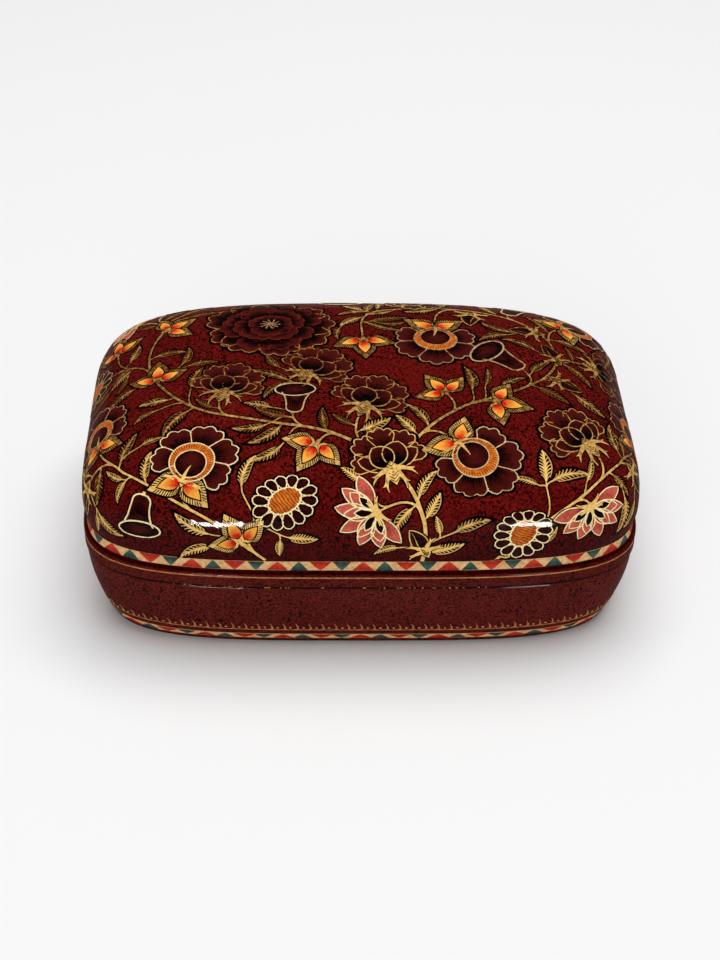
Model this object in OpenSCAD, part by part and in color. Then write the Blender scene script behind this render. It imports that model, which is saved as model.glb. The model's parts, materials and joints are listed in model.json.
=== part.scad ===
// Hand-moulded papier-mâché box with a domed lid that lifts straight off. Millimetres.
// Origin at the centre of the underside, +X along the length, +Z up.
// The plan is a rectangle with bowed sides and wide round corners. Every level of every piece
// is that plan drawn in by an inset, and each piece is a loft over its own profile of levels.

/* [Plan] */
// Length over the lid's raised rim
box_length = 152; // [120:1:210]
// Width over the lid's raised rim
box_width = 102; // [80:1:140]
// How far the long sides run on before they turn the corner, where 2 is an ellipse
side_power = 3.7; // [3:0.1:6]
// How far the short ends run on before they turn the corner
end_power = 6; // [3:0.1:7]

/* [Base shell] */
// Height of the base's edge over the table
base_height = 23.4; // [19:0.2:36]
// Thickness of the base's wall
base_wall = 2.6; // [2:0.1:4]
// Thickness of the floor
floor_thickness = 3; // [2:0.1:5]
// How far the base's edge lies inside the face of the rim above it
edge_setback = 0.5; // [0.1:0.1:1.5]
// How far the wall draws in between edge and foot
foot_draw = 5.4; // [2:0.2:8]
// How late the wall draws in going down, where 1 is a straight taper
foot_curve = 1.8; // [1:0.1:3]
// Rounding where the wall turns under to the flat underside
foot_round = 1.2; // [0.5:0.1:2]
// Rounding of the base's outer upper edge
edge_round = 0.7; // [0.3:0.1:1.2]
// Rounding inside, between wall and floor
floor_cove = 4; // [1.5:0.5:6]

/* [Base collar] */
// Thickness of the collar's board
collar_board = 1.4; // [1:0.1:2.4]
// How far the collar stands up past the base's edge
collar_rise = 5; // [3:0.5:7]
// How deep the collar is glued into the base
collar_depth = 9; // [5:0.5:10]
// Rounding of both of the collar's upper edges
collar_round = 0.5; // [0.2:0.1:0.7]
// Film of glue between a strip and the wall that it is glued to
glue_line = 0.05; // [0.02:0.01:0.1]

/* [Lid shell] */
// Height of the lid over its own lower edge
lid_height = 38.5; // [31:0.5:50]
// Parting line between the base's edge and the lid's
parting_gap = 0.3; // [0.2:0.05:0.6]
// Clearance between the collar and the lid's inner wall
lid_clearance = 0.35; // [0.2:0.05:0.6]
// Thickness of the shell at the crown
crown_wall = 2.6; // [2:0.1:4]
// Height of the upright wall that carries the rim and the painted band
skirt_height = 8.3; // [7.5:0.1:12]
// How far the wall swells out between the upright wall and the dome's widest level
swell = 0.8; // [0.2:0.1:1.5]
// Height over which the wall swells out
swell_height = 5; // [3:0.5:8]
// Fullness of the dome seen from above, where 2 is an ellipse
dome_fullness = 3.2; // [1.8:0.1:4]
// Fullness of the dome's shoulder, where 2 is an ellipse
shoulder_fullness = 2.4; // [1.8:0.1:3]
// Evenness of the shoulder, from 0 where it is wider at the ends to 1 where it is alike all round
end_evenness = 0.4; // [0:0.05:1]
// Power by which the dome's levels relax from the squarish plan to an ellipse at the crown
crown_power = 2; // [1:0.1:4]

/* [Lid rim] */
// Height of the raised strip along the lid's edge
rim_height = 4.1; // [3:0.1:6]
// How far the strip stands out from the lid's wall
rim_relief = 0.9; // [0.7:0.1:1.5]
// Rounding of the strip's outer edges
rim_round = 0.35; // [0.2:0.05:0.5]

/* [Smoothness] */
// Points round a quarter of the plan
quarter_points = 24; // [12:2:26]
// Levels up the outside of the dome
dome_levels = 15; // [8:1:16]
// Steps round a rounded edge
round_steps = 3; // [2:1:4]

/* [Hidden] */

maroon = "#5c1812";
brick = "#6e2015";
inner_black = "#1d1513";

// Crowding of the plan's points toward the middle of each side, so that their steps stay even
crowding_power = 1.5;
// Levels down the drawn-in outside of the base, and up the inside of the dome
wall_levels = 5;
inner_levels = 11;

plan_points = 4 * quarter_points;
half_length = box_length / 2;
half_width = box_width / 2;

// The collar's seat is an upright wall, as far in as the base's full wall at the collar's foot
collar_foot = base_height - collar_depth;
seat_inset = wall_inset(collar_foot) + base_wall;
collar_inset = seat_inset + glue_line;
lid_bore_inset = collar_inset - lid_clearance;

lid_foot = base_height + parting_gap;
skirt_top = lid_foot + skirt_height;
widest_level = skirt_top + swell_height;
lid_crown = lid_foot + lid_height;
widest_inset = rim_relief - swell;

// Inset of the base's outer wall at height z
function wall_inset(z) = edge_setback + foot_draw * pow(1 - z / base_height, foot_curve);

function signed_pow(v, power) = sign(v) * pow(abs(v), power);

// Angle of plan point i, from 0 to 360
function plan_angle(i) =
    let (quarter = floor(i / quarter_points),
         u = i / quarter_points - quarter,
         near = pow(u, crowding_power),
         far = pow(1 - u, crowding_power))
    90 * (quarter + near / (near + far));

// One closed level of the given half sizes at height z, anticlockwise from +X.
// Squareness is 1 for the full plan and 0 for an ellipse.
function outline(half_x, half_y, z, squareness = 1) =
    [for (i = [0 : plan_points - 1])
        let (t = plan_angle(i))
        [half_x * signed_pow(cos(t), 2 / (2 + (side_power - 2) * squareness)),
         half_y * signed_pow(sin(t), 2 / (2 + (end_power - 2) * squareness)), z]];

// One level of the plan, drawn in by an inset, for a profile point [inset, z]
function level(point) = outline(half_length - point[0], half_width - point[0], point[1]);

// Quarter turn of radius r about a profile point, from one angle to another
function turn(centre, r, from, to) =
    [for (k = [0 : round_steps])
        let (a = from + (to - from) * k / round_steps)
        centre + r * [cos(a), sin(a)]];

// Levels of a dome of the given inset and height that stands on height z, from its foot up.
// An even shoulder draws the ends in as far as the sides, and the crown closes in one point.
function dome(inset, z, rise, steps) =
    let (hx = half_length - inset, hy = half_width - inset)
    [for (k = [0 : steps - 1])
        let (up = sin(90 * k / steps),
             across = pow(1 - pow(up, shoulder_fullness), 1 / dome_fullness),
             along = across * (1 + end_evenness * (1 - hy / hx) * (1 - across)))
        outline(hx * along, hy * across, z + rise * up, pow(across, crown_power))];

function reversed(list) = [for (k = [len(list) - 1 : -1 : 0]) list[k]];

// Triangles between ring j and ring k of a loft
function skin(j, k) =
    [for (i = [0 : plan_points - 1])
        let (a = j * plan_points + i,
             b = j * plan_points + (i + 1) % plan_points,
             c = k * plan_points + (i + 1) % plan_points,
             d = k * plan_points + i)
        each [[a, b, c], [a, c, d]]];

// Solid skinned over rings that start round the point first and end round the point last
module loft(first, rings, last) {
    count = len(rings);
    points = concat([for (ring = rings) each ring], [first, last]);
    first_index = count * plan_points;
    end_ring = (count - 1) * plan_points;
    first_fan = [for (i = [0 : plan_points - 1]) [first_index, (i + 1) % plan_points, i]];
    last_fan = [for (i = [0 : plan_points - 1])
        [first_index + 1, end_ring + i, end_ring + (i + 1) % plan_points]];
    walls = [for (j = [0 : count - 2]) each skin(j, j + 1)];
    polyhedron(points = points, faces = concat(first_fan, walls, last_fan));
}

// Strip that runs all round the plan with the given profile, which goes down outside and up inside
module strip(profile) {
    count = len(profile);
    polyhedron(points = [for (point = profile) each level(point)],
               faces = [for (j = [0 : count - 1]) each skin(j, (j + 1) % count)]);
}

// Lower shell: flat floor, wall that draws in to the foot, upright seat for the collar
module base_shell() {
    cove_top = floor_thickness + floor_cove;
    cove_inset = wall_inset(cove_top) + base_wall;
    floor_arc = turn([cove_inset + floor_cove, cove_top], floor_cove, 270, 180);
    inner_wall = [for (k = [1 : wall_levels - 1])
        let (z = cove_top + (collar_foot - cove_top) * k / wall_levels)
        [wall_inset(z) + base_wall, z]];
    seat = [[seat_inset, collar_foot], [seat_inset, base_height]];
    edge_arc = turn([edge_setback + edge_round, base_height - edge_round], edge_round, 90, 180);
    wall_top = base_height - edge_round;
    outer_wall = [for (k = [1 : wall_levels])
        let (z = wall_top + (foot_round - wall_top) * k / (wall_levels + 1))
        [wall_inset(z), z]];
    foot_arc = turn([wall_inset(foot_round) + foot_round, foot_round], foot_round, 180, 270);
    profile = concat(floor_arc, inner_wall, seat, edge_arc, outer_wall, foot_arc);
    color(maroon)
        loft([0, 0, floor_thickness], [for (point = profile) level(point)], [0, 0, 0]);
}

// Board strip glued round the inside of the base, standing up into the lid
module base_collar() {
    top = base_height + collar_rise;
    inner = collar_inset + collar_board;
    outer_edge = turn([collar_inset + collar_round, top - collar_round], collar_round, 90, 180);
    inner_edge = turn([inner - collar_round, top - collar_round], collar_round, 0, 90);
    color(inner_black)
        strip(concat(outer_edge, [[collar_inset, collar_foot], [inner, collar_foot]], inner_edge));
}

// Domed upper shell: upright skirt, swell to the widest level, dome closed at the crown
module lid_shell() {
    outer_dome = dome(widest_inset, widest_level, lid_crown - widest_level, dome_levels);
    swelling = [for (k = [1 : round_steps])
        let (a = 90 * (1 - k / (round_steps + 1)))
        level([rim_relief - swell * sin(a), skirt_top + swell_height * a / 90])];
    skirt = [for (point = [[rim_relief, skirt_top], [rim_relief, lid_foot],
                           [lid_bore_inset, lid_foot]]) level(point)];
    inner_crown = lid_crown - crown_wall;
    inner_dome = dome(lid_bore_inset, widest_level, inner_crown - widest_level, inner_levels);
    color(brick)
        loft([0, 0, lid_crown], concat(reversed(outer_dome), swelling, skirt, inner_dome),
             [0, 0, inner_crown]);
}

// Raised strip glued round the lid's lower edge
module lid_rim() {
    seam = rim_relief - glue_line;
    top = lid_foot + rim_height;
    upper_edge = turn([rim_round, top - rim_round], rim_round, 90, 180);
    lower_edge = turn([rim_round, lid_foot + rim_round], rim_round, 180, 270);
    color(maroon)
        strip(concat([[seam, top]], upper_edge, lower_edge, [[seam, lid_foot]]));
}

base_shell();
base_collar();
lid_shell();
lid_rim();
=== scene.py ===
# %% [markdown]
# # A painted papier-mâché box
# The box is pressed from paper pulp over a mould, rubbed smooth, painted with a dense spray of
# flowers and covered with many coats of clear lacquer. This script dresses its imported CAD
# model.

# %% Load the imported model
import json
import math

import bpy
import numpy as np
from mathutils import Matrix, Vector

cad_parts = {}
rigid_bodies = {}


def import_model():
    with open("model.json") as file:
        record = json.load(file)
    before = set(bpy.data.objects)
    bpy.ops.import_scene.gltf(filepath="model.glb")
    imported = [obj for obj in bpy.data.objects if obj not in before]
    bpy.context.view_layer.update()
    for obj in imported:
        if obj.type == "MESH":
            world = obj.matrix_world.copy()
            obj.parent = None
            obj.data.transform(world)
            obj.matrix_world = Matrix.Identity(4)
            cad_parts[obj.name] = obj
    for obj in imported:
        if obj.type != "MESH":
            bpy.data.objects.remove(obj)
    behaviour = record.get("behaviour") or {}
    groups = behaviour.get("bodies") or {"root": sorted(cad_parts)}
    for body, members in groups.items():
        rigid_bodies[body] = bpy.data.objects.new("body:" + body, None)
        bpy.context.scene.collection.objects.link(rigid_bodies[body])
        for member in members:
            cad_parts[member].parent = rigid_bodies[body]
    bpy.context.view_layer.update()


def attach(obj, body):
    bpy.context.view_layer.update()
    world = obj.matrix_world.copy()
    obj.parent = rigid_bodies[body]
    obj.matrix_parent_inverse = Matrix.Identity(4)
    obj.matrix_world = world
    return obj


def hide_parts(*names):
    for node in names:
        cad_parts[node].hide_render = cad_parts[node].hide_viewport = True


MM = 0.001
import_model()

# %% [markdown]
# ## The camera
# The photograph looks down on the long front side, a little from the left, with a long lens.
# The angles come from lining up the outline, the parting line and the painted bands with the
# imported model. A camera looks along its own -Z axis, so its matrix is built from three
# directions: to the right, up, and back to the photographer.

# %% Camera at the photograph's angle
azimuth, elevation, roll = (math.radians(v) for v in (-2.19, 36.55, 1.43))
distance, aim = 537.4 * MM, Vector((0.44, -0.61, 22.0)) * MM

back = Vector((math.sin(azimuth) * math.cos(elevation),
               -math.cos(azimuth) * math.cos(elevation), math.sin(elevation)))
right = Vector((math.cos(azimuth), math.sin(azimuth), 0))
upright = Matrix((right, back.cross(right), back)).transposed()

camera_data = bpy.data.cameras.new("camera")
camera_data.lens = 70.4
camera = bpy.data.objects.new("camera", camera_data)
bpy.context.scene.collection.objects.link(camera)
turned = upright @ Matrix.Rotation(roll, 3, "Z")
camera.matrix_world = Matrix.Translation(aim + back * distance) @ turned.to_4x4()
bpy.context.scene.camera = camera
print("camera at", [round(v, 3) for v in camera.matrix_world.translation])

# %% [markdown]
# ## Numbers that nodes work out
# Most of this box follows rules: walls that are one plan drawn in by an inset, triangles that
# march round it, paint that lies on a dome. Geometry Nodes are made for that, but a formula
# takes many Math nodes. The small class below lets a formula be written as one, and adds a
# Math node for each sign in it.

# %% A field is a number that a node tree works out for every point
def socket_of(sockets, key):
    """The socket with this name or place among those that the node is using."""
    used = [socket for socket in sockets if socket.enabled]
    return used[key] if isinstance(key, int) else next(s for s in used if s.name == key)


def add(tree, kind, inputs=(), **options):
    """Adds a node, sets its options, and sets or links its inputs."""
    node = tree.nodes.new(kind)
    for option, value in options.items():
        setattr(node, option, value)
    for key, value in dict(inputs).items():
        socket = socket_of(node.inputs, key)
        if isinstance(value, Field):
            value = value.socket
        if isinstance(value, bpy.types.NodeSocket):
            tree.links.new(value, socket)
        else:
            socket.default_value = value
    return node


class Field:
    def __init__(self, tree, socket):
        self.tree, self.socket = tree, socket

    def calc(self, operation, *others):
        inputs = dict(enumerate((self, *others)))
        node = add(self.tree, "ShaderNodeMath", inputs, operation=operation)
        return Field(self.tree, node.outputs[0])

    def __add__(self, other):
        return self.calc("ADD", other)

    def __sub__(self, other):
        return self.calc("SUBTRACT", other)

    def __rsub__(self, other):
        return self.calc("MULTIPLY_ADD", -1, other)

    def __mul__(self, other):
        return self.calc("MULTIPLY", other)

    def __truediv__(self, other):
        return self.calc("DIVIDE", other)

    def __pow__(self, other):
        return self.calc("POWER", other)

    __radd__, __rmul__ = __add__, __mul__


def wire(tree, kind, inputs=(), out=0, **options):
    """A new node's output, as a field."""
    return Field(tree, socket_of(add(tree, kind, inputs, **options).outputs, out))

# %% [markdown]
# ## Trees and the meshes that they leave
# A tree starts from a mesh and a few named sizes. It ends in Realize Instances and Set
# Material, because an exporter drops instances. `grown` runs it once and keeps the plain
# mesh, so that no modifier is left on the piece.

# %% Start a tree, end a tree, run a tree
def new_tree(name, inputs):
    tree = bpy.data.node_groups.new(name, "GeometryNodeTree")
    tree.interface.new_socket("Geometry", in_out="OUTPUT", socket_type="NodeSocketGeometry")
    tree.interface.new_socket("Geometry", in_out="INPUT", socket_type="NodeSocketGeometry")
    for label, kind in inputs.items():
        tree.interface.new_socket(label, in_out="INPUT", socket_type="NodeSocket" + kind)
    source = tree.nodes.new("NodeGroupInput")
    return tree, {s.name: Field(tree, s) for s in source.outputs if s.name}


def end_tree(tree, geometry, material):
    solid = wire(tree, "GeometryNodeRealizeInstances", {0: geometry})
    dressed = wire(tree, "GeometryNodeSetMaterial", {"Geometry": solid, "Material": material})
    add(tree, "NodeGroupOutput", {0: dressed})


def grown(name, tree, start, values):
    """Runs a tree on a mesh and returns an object that holds the result as a plain mesh."""
    seed = bpy.data.objects.new("seed", start)
    bpy.context.scene.collection.objects.link(seed)
    modifier = seed.modifiers.new("tree", "NODES")
    modifier.node_group = tree
    for item in tree.interface.items_tree:
        if item.in_out == "INPUT" and item.name in values:
            modifier[item.identifier] = values[item.name]
    depsgraph = bpy.context.evaluated_depsgraph_get()
    mesh = bpy.data.meshes.new_from_object(
        seed.evaluated_get(depsgraph), preserve_all_data_layers=True, depsgraph=depsgraph)
    seed.modifiers.remove(modifier)
    bpy.data.objects.remove(seed)
    piece = bpy.data.objects.new(name, mesh)
    bpy.context.scene.collection.objects.link(piece)
    mesh.name = name
    print(f"{name}: {len(mesh.polygons)} faces")
    return piece


def mesh_of(name, points, edges=(), faces=(), **attributes):
    """A mesh from points in millimetres, with a value for each point under each name."""
    mesh = bpy.data.meshes.new(name)
    mesh.from_pydata((np.asarray(points, float).reshape(-1, 3) * MM).tolist(), edges, faces)
    for label, values in attributes.items():
        values = np.asarray(values)
        kind = {"i": "INT", "f": "FLOAT"}[values.dtype.kind] if values.ndim == 1 else "FLOAT_VECTOR"
        layer = mesh.attributes.new(label, kind, "POINT")
        layer.data.foreach_set("vector" if values.ndim > 1 else "value", values.ravel())
    return mesh

# %% [markdown]
# ## The plan
# Seen from above the box is a rectangle with bowed sides and wide round corners. In the CAD
# source it is a superellipse whose long sides run on less before they turn than its short
# ends do. The same plan is repeated here with many more points, so that the lacquer shows
# clean reflections where the CAD solid has flats.

# %% Tree: loft round the plan
HALF_LENGTH, HALF_WIDTH = 76.0, 51.0
SIDE_POWER, END_POWER, CROWDING = 3.7, 6.0, 1.5
COLUMNS = 64

loft, given = new_tree("loft round the plan", {
    "Columns in a quarter": "Int", "Half length": "Float", "Half width": "Float",
    "Side power": "Float", "End power": "Float", "Crowding": "Float", "Lacquer": "Material"})
rows = wire(loft, "GeometryNodeAttributeDomainSize", {0: given["Geometry"]}, "Point Count")
columns = given["Columns in a quarter"]
grid = wire(loft, "GeometryNodeMeshGrid", {
    "Size X": 1, "Size Y": 1, "Vertices X": columns * 4 + 1, "Vertices Y": rows})
index = wire(loft, "GeometryNodeInputIndex")
column = (index / rows).calc("FLOOR")
row = index - column * rows


def along_profile(value, data_type):
    return wire(loft, "GeometryNodeSampleIndex", {
        "Geometry": given["Geometry"], "Value": value, "Index": row}, data_type=data_type)


def named(tree, name, data_type="FLOAT"):
    return wire(tree, "GeometryNodeInputNamedAttribute", {"Name": name}, data_type=data_type)


place = along_profile(wire(loft, "GeometryNodeInputPosition"), "FLOAT_VECTOR")
inset_x, inset_y, height = (
    wire(loft, "ShaderNodeSeparateXYZ", {0: place}, axis) for axis in "XYZ")
squareness = along_profile(named(loft, "squareness"), "FLOAT")
inside = along_profile(named(loft, "inside"), "FLOAT")

quarter = (column / columns).calc("FLOOR")
part = column / columns - quarter
near, far = part ** given["Crowding"], (1 - part) ** given["Crowding"]
angle = (quarter + near / (near + far)) * (math.pi / 2)


def swept(half, inset, wave, power):
    """Half size times the signed power of a sine or cosine, and exactly 0 where that crosses 0."""
    exponent = (squareness * (power - 2) + 2) ** -1 * 2
    size = (wave.calc("ABSOLUTE") - 1e-6).calc("MAXIMUM", 0.0)
    return (half - inset) * wave.calc("SIGN") * size ** exponent


spot = wire(loft, "ShaderNodeCombineXYZ", {
    "X": swept(given["Half length"], inset_x, angle.calc("COSINE"), given["Side power"]),
    "Y": swept(given["Half width"], inset_y, angle.calc("SINE"), given["End power"]),
    "Z": height})
skin = wire(loft, "GeometryNodeSetPosition", {"Geometry": grid, "Position": spot})
skin = wire(loft, "GeometryNodeStoreNamedAttribute", {
    "Geometry": skin, "Name": "inside", "Value": inside}, data_type="FLOAT", domain="POINT")
skin = wire(loft, "GeometryNodeMergeByDistance", {"Geometry": skin, "Distance": 0.002 * MM})
skin = wire(loft, "GeometryNodeSetShadeSmooth", {"Geometry": skin})
skin = wire(loft, "GeometryNodeStoreNamedAttribute", {
    "Geometry": skin, "Name": "outward", "Value": wire(loft, "GeometryNodeInputNormal")},
    data_type="FLOAT_VECTOR", domain="POINT")
end_tree(loft, skin, given["Lacquer"])


def lofted(name, profile, lacquer):
    """A skin round the plan. The profile goes down inside and up outside."""
    profile = np.array(profile, float)
    start = mesh_of(name, profile[:, :3], squareness=profile[:, 3], inside=profile[:, 4])
    return grown(name, loft, start, {
        "Columns in a quarter": COLUMNS, "Half length": HALF_LENGTH * MM,
        "Half width": HALF_WIDTH * MM, "Side power": SIDE_POWER, "End power": END_POWER,
        "Crowding": CROWDING, "Lacquer": lacquer})

# %% [markdown]
# ## The lacquer
# The ground is maroon with fine black flecks, and it is browner and duller on the base. Clear
# lacquer lies over ground and paint alike, so both get the same smooth coat and the same
# faint waviness, which comes from sanding by hand.

# %% Helpers for materials
def rgb(red, green, blue):
    """A colour as a picture program writes it, 0 to 255, turned to Blender's linear numbers."""
    return tuple((v / 255 / 12.92 if v < 10.3 else ((v / 255 + 0.055) / 1.055) ** 2.4)
                 for v in (red, green, blue)) + (1.0,)


def new_material(name, roughness, coat=0.08):
    material = bpy.data.materials.new(name)
    material.use_nodes = True
    tree = material.node_tree
    shader = tree.nodes["Principled BSDF"]
    shader.inputs["Roughness"].default_value = roughness
    shader.inputs["Specular IOR Level"].default_value = 0.0
    shader.inputs["Coat Weight"].default_value = coat
    shader.inputs["Coat Roughness"].default_value = 0.06
    return material, tree, shader


def noise(tree, scale, detail=2.0, roughness=0.5):
    place = wire(tree, "ShaderNodeTexCoord", (), "Object")
    return wire(tree, "ShaderNodeTexNoise", {
        "Vector": place, "Scale": scale, "Detail": detail, "Roughness": roughness})


def stepped(tree, value, low, high, to_low=0.0, to_high=1.0):
    """The value moved from one range to another and held within it."""
    return wire(tree, "ShaderNodeMapRange", {
        "Value": value, "From Min": low, "From Max": high, "To Min": to_low, "To Max": to_high})


def mixed(tree, share, first, second):
    return wire(tree, "ShaderNodeMix", {"Factor": share, "A": first, "B": second},
                data_type="RGBA")


def wavy(tree, shader):
    """The slow waviness of a hand-rubbed coat, with finer brush marks in it."""
    swell = noise(tree, 70.0, 1.0) + noise(tree, 420.0, 2.0) * 0.3
    bump = add(tree, "ShaderNodeBump", {
        "Strength": 0.25, "Distance": 0.2 * MM, "Height": swell}).outputs[0]
    for normal in ("Normal", "Coat Normal"):
        tree.links.new(bump, shader.inputs[normal])

# %% [markdown]
# ## The mottled ground
# The maroon looks dabbed on over black, with specks of black left in it. A fine noise mixes a
# dark and a bright red, and a second noise, cut off high up, leaves the flecks. The board
# inside is blackened, and the edges that meet at the parting line are darkened as painted
# shade: each level of a piece says whether it is dark in one of these ways, and the material
# reads that.

# %% The flecked maroon ground
def ground_lacquer(name, dark, bright, fleck, amount, border=None):
    """Fine red grain with black flecks in it, dark where the skin is inside (blackened board) or at
    the parting line (painted shade).

    A border is a pair of darker colours that the ground takes on toward the lid's lower edge, as
    painted shade on the steep lower side of the lid.
    """
    material, tree, shader = new_material(name, 0.22)
    cloud = stepped(tree, noise(tree, 45.0, 4.0, 0.6), 0.36, 0.64)
    grain = stepped(tree, noise(tree, 1900.0, 1.0, 0.6), 0.36, 0.66)
    colour = mixed(tree, grain * 0.75 + cloud * 0.25, dark, bright)
    # Painted shade: the ground darkens toward the lid's lower edge, from 48 mm down to 33 mm.
    if border:
        place = wire(tree, "ShaderNodeTexCoord", (), "Object")
        height = wire(tree, "ShaderNodeSeparateXYZ", {0: place}, "Z")
        low = stepped(tree, height, 33 * MM, 48 * MM, 0.85, 0.0)
        colour = mixed(tree, low, colour, mixed(tree, grain, *border))
    flecks = stepped(tree, noise(tree, 1350.0, 1.0, 0.5), amount, amount + 0.03)
    patch = stepped(tree, noise(tree, 120.0, 3.0, 0.6), 0.4, 0.6, 0.5, 1.0)
    colour = mixed(tree, flecks * patch, colour, fleck)
    # Blackened board inside, and painted shade on the edges at the parting line, both come from the
    # same attribute.
    blackening_or_painted_shade = wire(tree, "ShaderNodeAttribute", (), "Fac", attribute_name="inside")
    colour = mixed(tree, blackening_or_painted_shade, colour, rgb(26, 21, 20))
    tree.links.new(colour.socket, shader.inputs["Base Color"])
    satin = blackening_or_painted_shade * 0.3 + 0.2 + noise(tree, 300.0, 2.0) * 0.06
    tree.links.new(satin.socket, shader.inputs["Roughness"])
    wavy(tree, shader)
    return material


# The last pair of colours is painted shade toward the lid's lower edge.
lid_lacquer = ground_lacquer("lid_lacquer", rgb(58, 4, 3), rgb(118, 22, 16), rgb(5, 0, 0),
                             0.545, (rgb(32, 0, 0), rgb(80, 1, 0)))
base_lacquer = ground_lacquer("base_lacquer", rgb(58, 9, 6), rgb(110, 34, 26), rgb(26, 2, 1),
                              0.58)
rim_lacquer = ground_lacquer("rim_lacquer", rgb(56, 7, 5), rgb(106, 30, 23), rgb(24, 2, 1), 0.58)
collar_lacquer = ground_lacquer("collar_lacquer", rgb(22, 17, 16), rgb(36, 27, 24),
                                rgb(12, 9, 8), 0.6)

# %% [markdown]
# ## The four mouldings
# Each piece is a list of levels: how far the plan is drawn in along the length, how far
# across the width, the height, how square the plan still is, and how dark the skin is made
# there, as blackened board inside or painted shade at the parting line. A small arc stands
# for each rubbed edge, with a point just before and after it, so that smooth shading doesn't
# spread the edge over the wall beside it.

# %% Levels of the base and its collar
EDGE, WALL, FLOOR = 23.4, 2.6, 3.0
FOOT_ROUND, EDGE_ROUND, CORNER = 1.2, 0.7, 0.3
COVE_TOP, COVE_ROUND = 7.0, 4.0
COLLAR_FOOT, COLLAR_RISE, COLLAR_BOARD, COLLAR_ROUND = 14.4, 5.0, 1.4, 0.5
LID_FOOT, SKIRT_TOP, WIDEST, CROWN = 23.7, 32.0, 37.0, 62.2
RIM_TOP, RIM_RELIEF, RIM_ROUND = 27.8, 0.9, 0.35
SWELL, SWELL_HEIGHT = 0.8, 5
# The lid's lacquer stands this much under the CAD solid, to leave room for the paint on it
COAT = 0.2
ARC_STEPS = 7


def wall_inset(z):
    return 0.5 + 5.4 * (1 - z / EDGE) ** 1.8


def flat(inset, z, blackening_or_painted_shade=0.0):
    return [inset, inset, z, 1.0, blackening_or_painted_shade]


def arc(inset, z, radius, start, end, blackening_or_painted_shade=0.0):
    """A turn about a point of the profile, with a support point at both ends."""
    angles = np.radians(np.linspace(start, end, ARC_STEPS))
    points = [(inset + radius * math.cos(a), z + radius * math.sin(a)) for a in angles]
    for end_point, beside, first in ((0, 1, True), (-1, -2, False)):
        away = np.array(points[end_point]) - np.array(points[beside])
        tangent = np.array([-math.sin(angles[end_point]), math.cos(angles[end_point])])
        tangent *= 0.25 * radius * np.sign(tangent @ away)
        extra = tuple(np.array(points[end_point]) + tangent)
        points = [extra] + points if first else points + [extra]
    return [flat(a, b, blackening_or_painted_shade) for a, b in points]


def floor_centre(z, blackening_or_painted_shade):
    """Levels from the middle of a flat floor outwards."""
    return [[HALF_LENGTH * (1 - share) + 8 * share, HALF_WIDTH * (1 - share) + 8 * share,
             z, share, blackening_or_painted_shade] for share in (0, 0.35, 0.7)]


foot = wall_inset(FOOT_ROUND)
wall = [flat(wall_inset(z), z) for z in np.linspace(1.9, EDGE - 1.1, 26)]
seat, cove = wall_inset(COLLAR_FOOT) + WALL, wall_inset(COVE_TOP) + WALL
inner_wall = [flat(wall_inset(z) + WALL, z, 1) for z in np.linspace(13.9, 8.2, 8)]
edge = 1.2, EDGE - EDGE_ROUND, EDGE_ROUND
base = lofted("base_wall", floor_centre(0, 1)
              + arc(foot + FOOT_ROUND, FOOT_ROUND, FOOT_ROUND, 270, 180) + wall
              # The top of the edge round, under the lid's rim, is darkened as painted shade in the
              # parting line.
              + arc(*edge, 180, 140) + arc(*edge, 135, 90, 1)
              + arc(seat - CORNER, EDGE - CORNER, CORNER, 90, 0, 1)
              + [flat(seat, COLLAR_FOOT, 1)] + inner_wall
              + arc(cove + COVE_ROUND, COVE_TOP, COVE_ROUND, 180, 270, 1)
              + floor_centre(FLOOR, 1)[::-1], base_lacquer)
collar_out, collar_in = seat + 0.05, seat + 0.05 + COLLAR_BOARD
collar_arc = EDGE + COLLAR_RISE - COLLAR_ROUND
collar = lofted("collar", [flat(collar_in, COLLAR_FOOT, 1), flat(collar_out, COLLAR_FOOT, 1)]
                + arc(collar_out + COLLAR_ROUND, collar_arc, COLLAR_ROUND, 180, 90, 1)
                + arc(collar_in - COLLAR_ROUND, collar_arc, COLLAR_ROUND, 90, 0, 1)
                + [flat(collar_in, COLLAR_FOOT, 1)], collar_lacquer)

# %% [markdown]
# ## The lid and its raised rim
# Over the upright skirt the lid swells out a little and then closes in a dome. The levels of
# the dome are an even step apart along its side, so that no ring of faces is long and thin,
# and each higher level is rounder, until the crown is an ellipse. A strip glued round the
# lower edge is the rim. Its underside, and the top of the base's edge under it, are darkened
# as painted shade, which gives the dark parting line.

# %% Levels of the lid: the dome swells over the skirt and relaxes to an ellipse at the crown
DOME_FULLNESS, SHOULDER_FULLNESS, END_EVENNESS, CROWN_POWER = 3.2, 2.4, 0.4, 2.0


def dome(inset, foot, rise, count, blackening_or_painted_shade=0.0):
    """Levels from the dome's foot to its crown, an even step apart along its side."""
    across = np.concatenate([np.cos(np.linspace(0, 1.5, 400)) ** (2 / DOME_FULLNESS),
                             np.linspace(0.19, 0, 100)])
    up = (1 - across ** DOME_FULLNESS) ** (1 / SHOULDER_FULLNESS)
    walked = np.concatenate([[0], np.cumsum(np.hypot(
        np.diff(across) * (HALF_WIDTH - inset), np.diff(up) * rise))])
    across = np.interp(np.linspace(0, walked[-1], count), walked, across)
    up = (1 - across ** DOME_FULLNESS) ** (1 / SHOULDER_FULLNESS)
    half_x, half_y = HALF_LENGTH - inset, HALF_WIDTH - inset
    along = across * (1 + END_EVENNESS * (1 - half_y / half_x) * (1 - across))
    return [[HALF_LENGTH - half_x * a, HALF_WIDTH - half_y * b, foot + rise * c,
             b ** CROWN_POWER, blackening_or_painted_shade] for a, b, c in zip(along, across, up)]


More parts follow.
